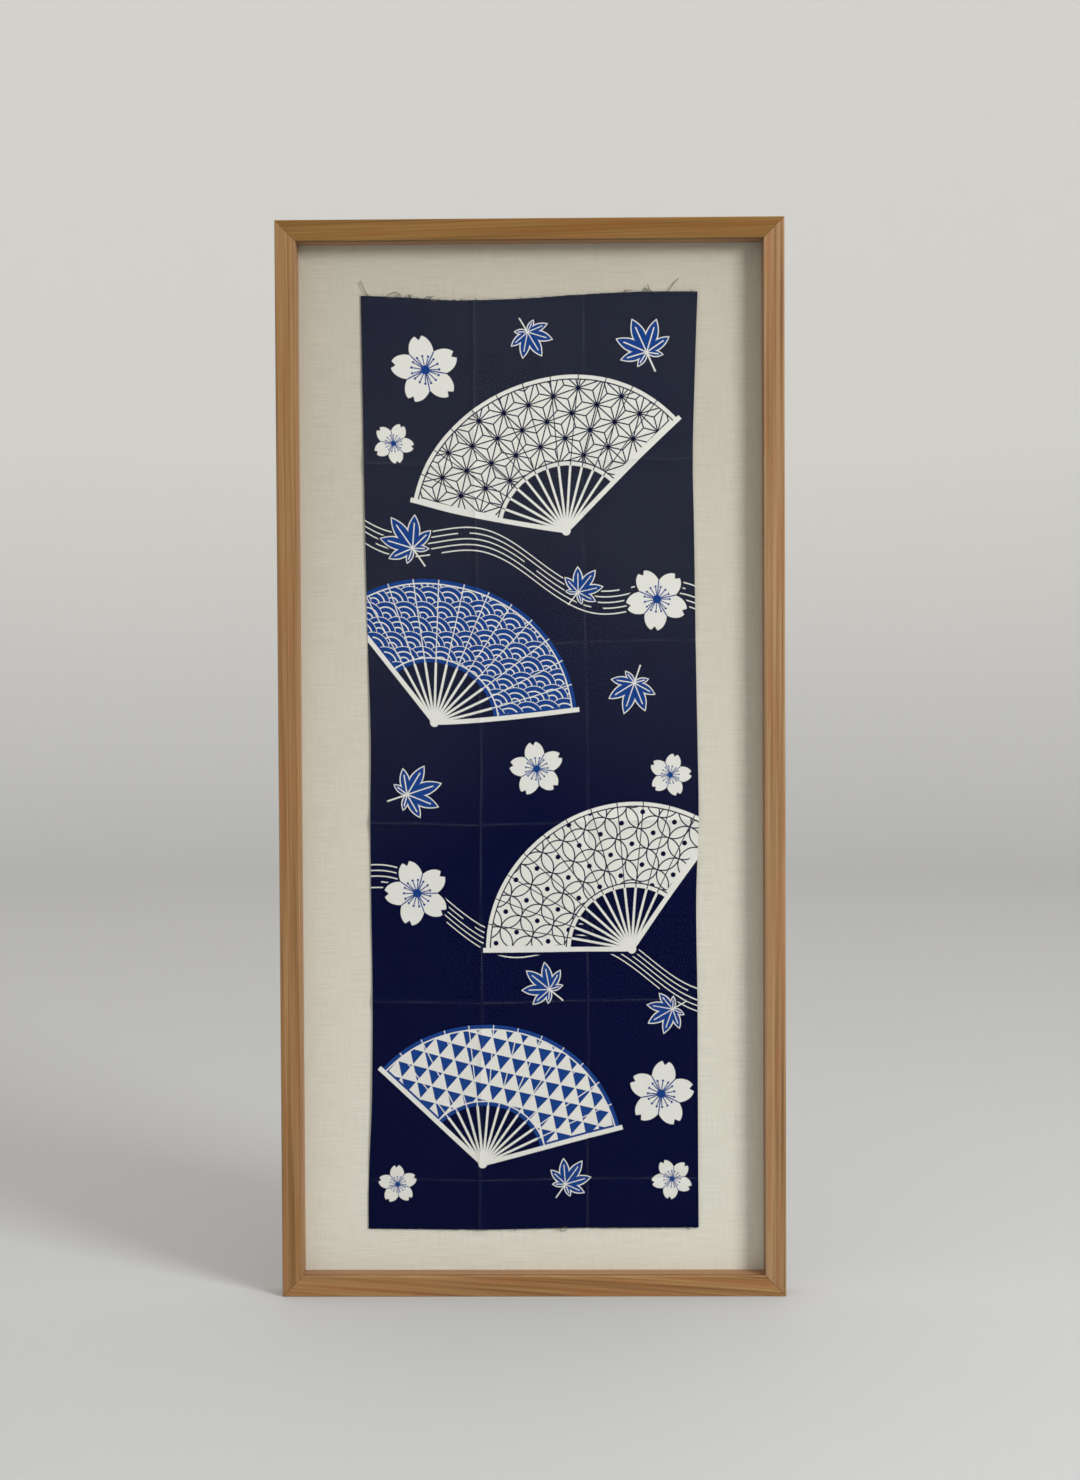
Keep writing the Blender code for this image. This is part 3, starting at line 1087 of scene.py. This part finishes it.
# %% Fans
# Fans: pivot across from the middle, its height, reach, degrees of lean to the left, repeat, its pitch
WHITE_FANS = (
    (0.037, 0.712, 0.158, 16, hemp_leaf, 0.026),
    (0.100, 0.285, 0.150, 27, seven_treasures, 0.024),
)
BLUE_FANS = (
    (-0.102, 0.520, 0.146, -24, blue_waves, 0.034),
    (-0.052, 0.068, 0.143, -14, fish_scales, 0.016),
)
FAN_HALF_ANGLE = math.radians(62)
FAN_STICKS = 12
LEAF_FROM = 0.42
STICK_HALF_WIDTH = 0.0012
GUARD_HALF_WIDTH = 0.0024
LINE_HALF_WIDTH = 0.00065
FOLD_HALF_WIDTH = 0.0005
BORDER_INSET = 0.0045
RIVET_RADIUS = 0.0045
GUARD_REACH = 1.02
FAN_RIM = 0.0028


def fan(below, pivot, reach, lean, repeat, pitch, leaf_colour, line_colour):
    """Lays a fan over the colours below it."""
    x, y = turned(u, v, pivot, math.radians(lean))
    away = hypotenuse(x, y)
    bearing = maths("ARCTAN2", x, y)
    past_side = (abs(bearing) - FAN_HALF_ANGLE) * away
    leaf = largest(away - reach, LEAF_FROM * reach - away, past_side)
    crease = to_nearest(bearing, 2 * FAN_HALF_ANGLE / FAN_STICKS) * away
    stick = largest(crease - STICK_HALF_WIDTH, away - LEAF_FROM * reach, past_side - STICK_HALF_WIDTH)
    behind = abs(bearing) - math.pi / 2
    guard = largest(abs(past_side) - GUARD_HALF_WIDTH, away - GUARD_REACH * reach, behind)
    bones = smallest(stick, guard, away - RIVET_RADIUS)
    below = dye(below, ground, smallest(leaf, bones) - FAN_RIM)
    below = dye(below, leaf_colour, leaf)
    borders = smallest(abs(away - reach + BORDER_INSET), abs(away - LEAF_FROM * reach - BORDER_INSET))
    inner = largest(leaf + BORDER_INSET, repeat(x, y, pitch) - LINE_HALF_WIDTH)
    creases = largest(leaf, crease - FOLD_HALF_WIDTH)
    below = dye(below, line_colour, smallest(inner, largest(leaf, borders - LINE_HALF_WIDTH), creases))
    return dye(below, WHITE, bones)


for fans, leaf_colour, line_colour in ((WHITE_FANS, WHITE, INDIGO), (BLUE_FANS, BLUE, WHITE)):
    for across, height, reach, lean, repeat, pitch in fans:
        colour = fan(colour, (across, height), reach, lean, repeat, pitch, leaf_colour, line_colour)
print(len(WHITE_FANS) + len(BLUE_FANS), "fans,", len(print_finish.tree.nodes), "nodes so far")

# %% [markdown]
# ### Cotton under the dye
#
# The cloth itself is a fine plain weave, about 18 threads to the centimetre. Its thicker threads show
# as faint streaks, and the dye has rubbed off a little along the old folds. The weave is felt rather
# than seen, as a bump a tenth of a millimetre deep.

# %% Finish the cotton
THREAD_PITCH = 0.00055
RUBBED = (0.075, 0.082, 0.115)
RUBBED_SHARE = 0.30
RUBBED_HALF_WIDTH = 0.0018
STREAK_SHADE = 0.93
WEAVE_DEPTH = 0.00012

thin_across = print_finish.noise(on_cloth, (26, 700, 1), detail=2.0)
thin_along = print_finish.noise(on_cloth, (700, 20, 1), detail=2.0)
clouds = print_finish.noise(on_cloth, (11, 11, 1), detail=3.0)
streaks = thin_across * 0.4 + thin_along * 0.3 + clouds * 0.3
weave = plain_weave(from_left, v, THREAD_PITCH)
to_crease = smallest(
    *[abs(v - place) for place, _ in CREASES_ACROSS],
    *[abs(u - place) for place, _ in CREASES_ALONG],
)
rubbed = print_finish.spread(to_crease, 0.0002, RUBBED_HALF_WIDTH, RUBBED_SHARE, 0)
rubbed = rubbed * print_finish.spread(thin_across + thin_along, 0.85, 1.15)
colour = print_finish.mix(colour, RUBBED, rubbed, blend="LIGHTEN")
shade = print_finish.spread(streaks * 0.7 + weave * 0.3, 0.30, 0.75, STREAK_SHADE, 1.0)
colour = print_finish.mix(colour, (0, 0, 0), 1 - shade)
print_finish.colour(colour)
print_finish.bump(weave * 0.7 + streaks * 0.6, WEAVE_DEPTH, 0.6)
wear(towel, print_finish.material)
print("printed cotton with", len(print_finish.tree.nodes), "nodes")

# %% [markdown]
# ## Raw ends
#
# Both ends of the towel are cut and not hemmed, so a few threads have worked loose. Some stand up from
# the edge, some lie along it, and between them is a short fuzz. Each is a fine tube. The long ones are
# listed one by one, since they are easy to see, and the fuzz is strewn along both ends from a fixed
# seed.
#
# A hair system could do this too, but a few plain tubes are enough, and they export as they are.

# %% Loose threads
THREAD_RADIUS = 0.00036
FUZZ_RADIUS = 0.00014
THREAD_STEPS = 8
ROOT_DEPTH = 0.001
TIP_LIFT = 0.0009
ARCH_LIFT = 0.0006
WOBBLE = 0.12

# Long threads: share of the width from the left, at the top or not, reach across, reach up, bow
LONG_THREADS = (
    (0.025, True, -0.0085, 0.0145, 0.0008),
    (0.075, True, 0.0155, 0.0012, 0.0035),
    (0.083, True, 0.0105, 0.0020, -0.0016),
    (0.140, True, 0.0050, 0.0026, 0.0012),
    (0.150, True, -0.0035, 0.0030, -0.0010),
    (0.186, True, 0.0090, 0.0010, 0.0018),
    (0.200, True, 0.0060, 0.0028, 0.0006),
    (0.225, True, -0.0070, 0.0018, 0.0016),
    (0.780, True, 0.0080, 0.0014, 0.0018),
    (0.800, True, -0.0060, 0.0022, 0.0010),
    (0.835, True, 0.0075, 0.0018, 0.0022),
    (0.858, True, -0.0065, 0.0026, -0.0012),
    (0.881, True, -0.0098, 0.0082, 0.0030),
    (0.912, True, 0.0108, 0.0125, 0.0010),
    (0.575, False, 0.0085, -0.0012, -0.0028),
    (0.600, False, -0.0060, -0.0022, -0.0016),
    (0.962, False, 0.0040, -0.0016, -0.0008),
)
FUZZ_COUNT = 150
FUZZ_AT_TOP = 0.6
FUZZ_REACH_ACROSS = 0.0030
FUZZ_REACH_UP = (0.0004, 0.0020)
FUZZ_BOW = 0.0008
FUZZ_SEED = 31


def thread_route(share, at_top, across, up, bow):
    """Points of a thread that leaves the cloth's end, bows to one side and lifts off the board."""
    column = MEAN_LEFT + (MEAN_RIGHT - MEAN_LEFT) * share
    outward = 1 if at_top else -1
    root = cloth_point(column, TOWEL_FLAT[1] if at_top else 0)
    root += Vector((0, -CLOTH_THICKNESS / 2, -ROOT_DEPTH * outward))
    way = Vector((across, 0, up + ROOT_DEPTH * outward))
    aside = Vector((-way.z, 0, way.x)).normalized() * bow
    points = []
    for step in range(THREAD_STEPS + 1):
        t = step / THREAD_STEPS
        arch = 4 * t * (1 - t)
        wobble = noise.noise(Vector((share * 90, t * 2.2, 5))) * WOBBLE * way.length * t
        lift = Vector((0, -TIP_LIFT * t - ARCH_LIFT * arch, 0))
        points.append(root + way * t + aside * arch + lift + Vector((0, 0, wobble)))
    return points


def add_threads(name, routes, thread_radius):
    """One mesh of fine tubes that follow the routes."""
    bpy.ops.object.select_all(action="DESELECT")
    bpy.ops.curve.primitive_nurbs_path_add()
    threads = bpy.context.object
    threads.name = name
    curve = threads.data
    curve.splines.clear()
    curve.bevel_depth = thread_radius
    curve.bevel_resolution = 1
    curve.use_fill_caps = True
    for points in routes:
        spline = curve.splines.new("POLY")
        spline.points.add(len(points) - 1)
        for spot, point in zip(spline.points, points):
            spot.co = (*point, 1)
    bpy.ops.object.convert(target="MESH")
    bpy.ops.object.shade_smooth()
    return threads


random.seed(FUZZ_SEED)
fuzz = []
for _ in range(FUZZ_COUNT):
    at_top = random.random() < FUZZ_AT_TOP
    across = random.uniform(-FUZZ_REACH_ACROSS, FUZZ_REACH_ACROSS)
    up = random.uniform(*FUZZ_REACH_UP) * (1 if at_top else -1)
    share = random.uniform(0.005, 0.995)
    fuzz.append((share, at_top, across, up, random.uniform(-FUZZ_BOW, FUZZ_BOW)))
long_threads = add_threads("loose_threads", [thread_route(*row) for row in LONG_THREADS], THREAD_RADIUS)
short_threads = add_threads("frayed_ends", [thread_route(*row) for row in fuzz], FUZZ_RADIUS)
print(len(LONG_THREADS), "loose threads,", len(fuzz), "short ones")

# %% [markdown]
# The loose threads are undyed inside, and dusty, so they are a pale grey brown. The short fuzz keeps
# more of its indigo.

# %% Yarn
YARN_PALE = (0.215, 0.190, 0.150)
YARN_GREY = (0.100, 0.092, 0.082)
YARN_BLUE = (0.030, 0.035, 0.070)


def yarn(name, below, above):
    finish = Finish(name, roughness=0.9, Specular_IOR_Level=0.1)
    twist = finish.noise(finish.place(), (500, 500, 500), detail=1.0)
    finish.colour(finish.mix(below, above, finish.spread(twist, 0.35, 0.65)))
    finish.bump(finish.noise(finish.place(), (4000, 4000, 4000)), 0.0001, 0.5)
    return finish.material


wear(long_threads, yarn("bare yarn", YARN_GREY, YARN_PALE))
wear(short_threads, yarn("dyed yarn", YARN_BLUE, YARN_GREY))
print("yarn on both")

# %% [markdown]
# ## What the pieces are
#
# The new cloth stands for the solid one, so the solid one is hidden. The cloth and its threads ride on
# the frame's one body.

# %% Join the pieces to the model
for piece in (towel, long_threads, short_threads):
    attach(piece, "root")
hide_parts("towel")
finished_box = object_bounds()
growth = [round(1000 * (finished_box[1][i] - solid_box[1][i]), 2) for i in range(3)]
print("finished object is larger than its solids by", growth, "mm at its high corner")
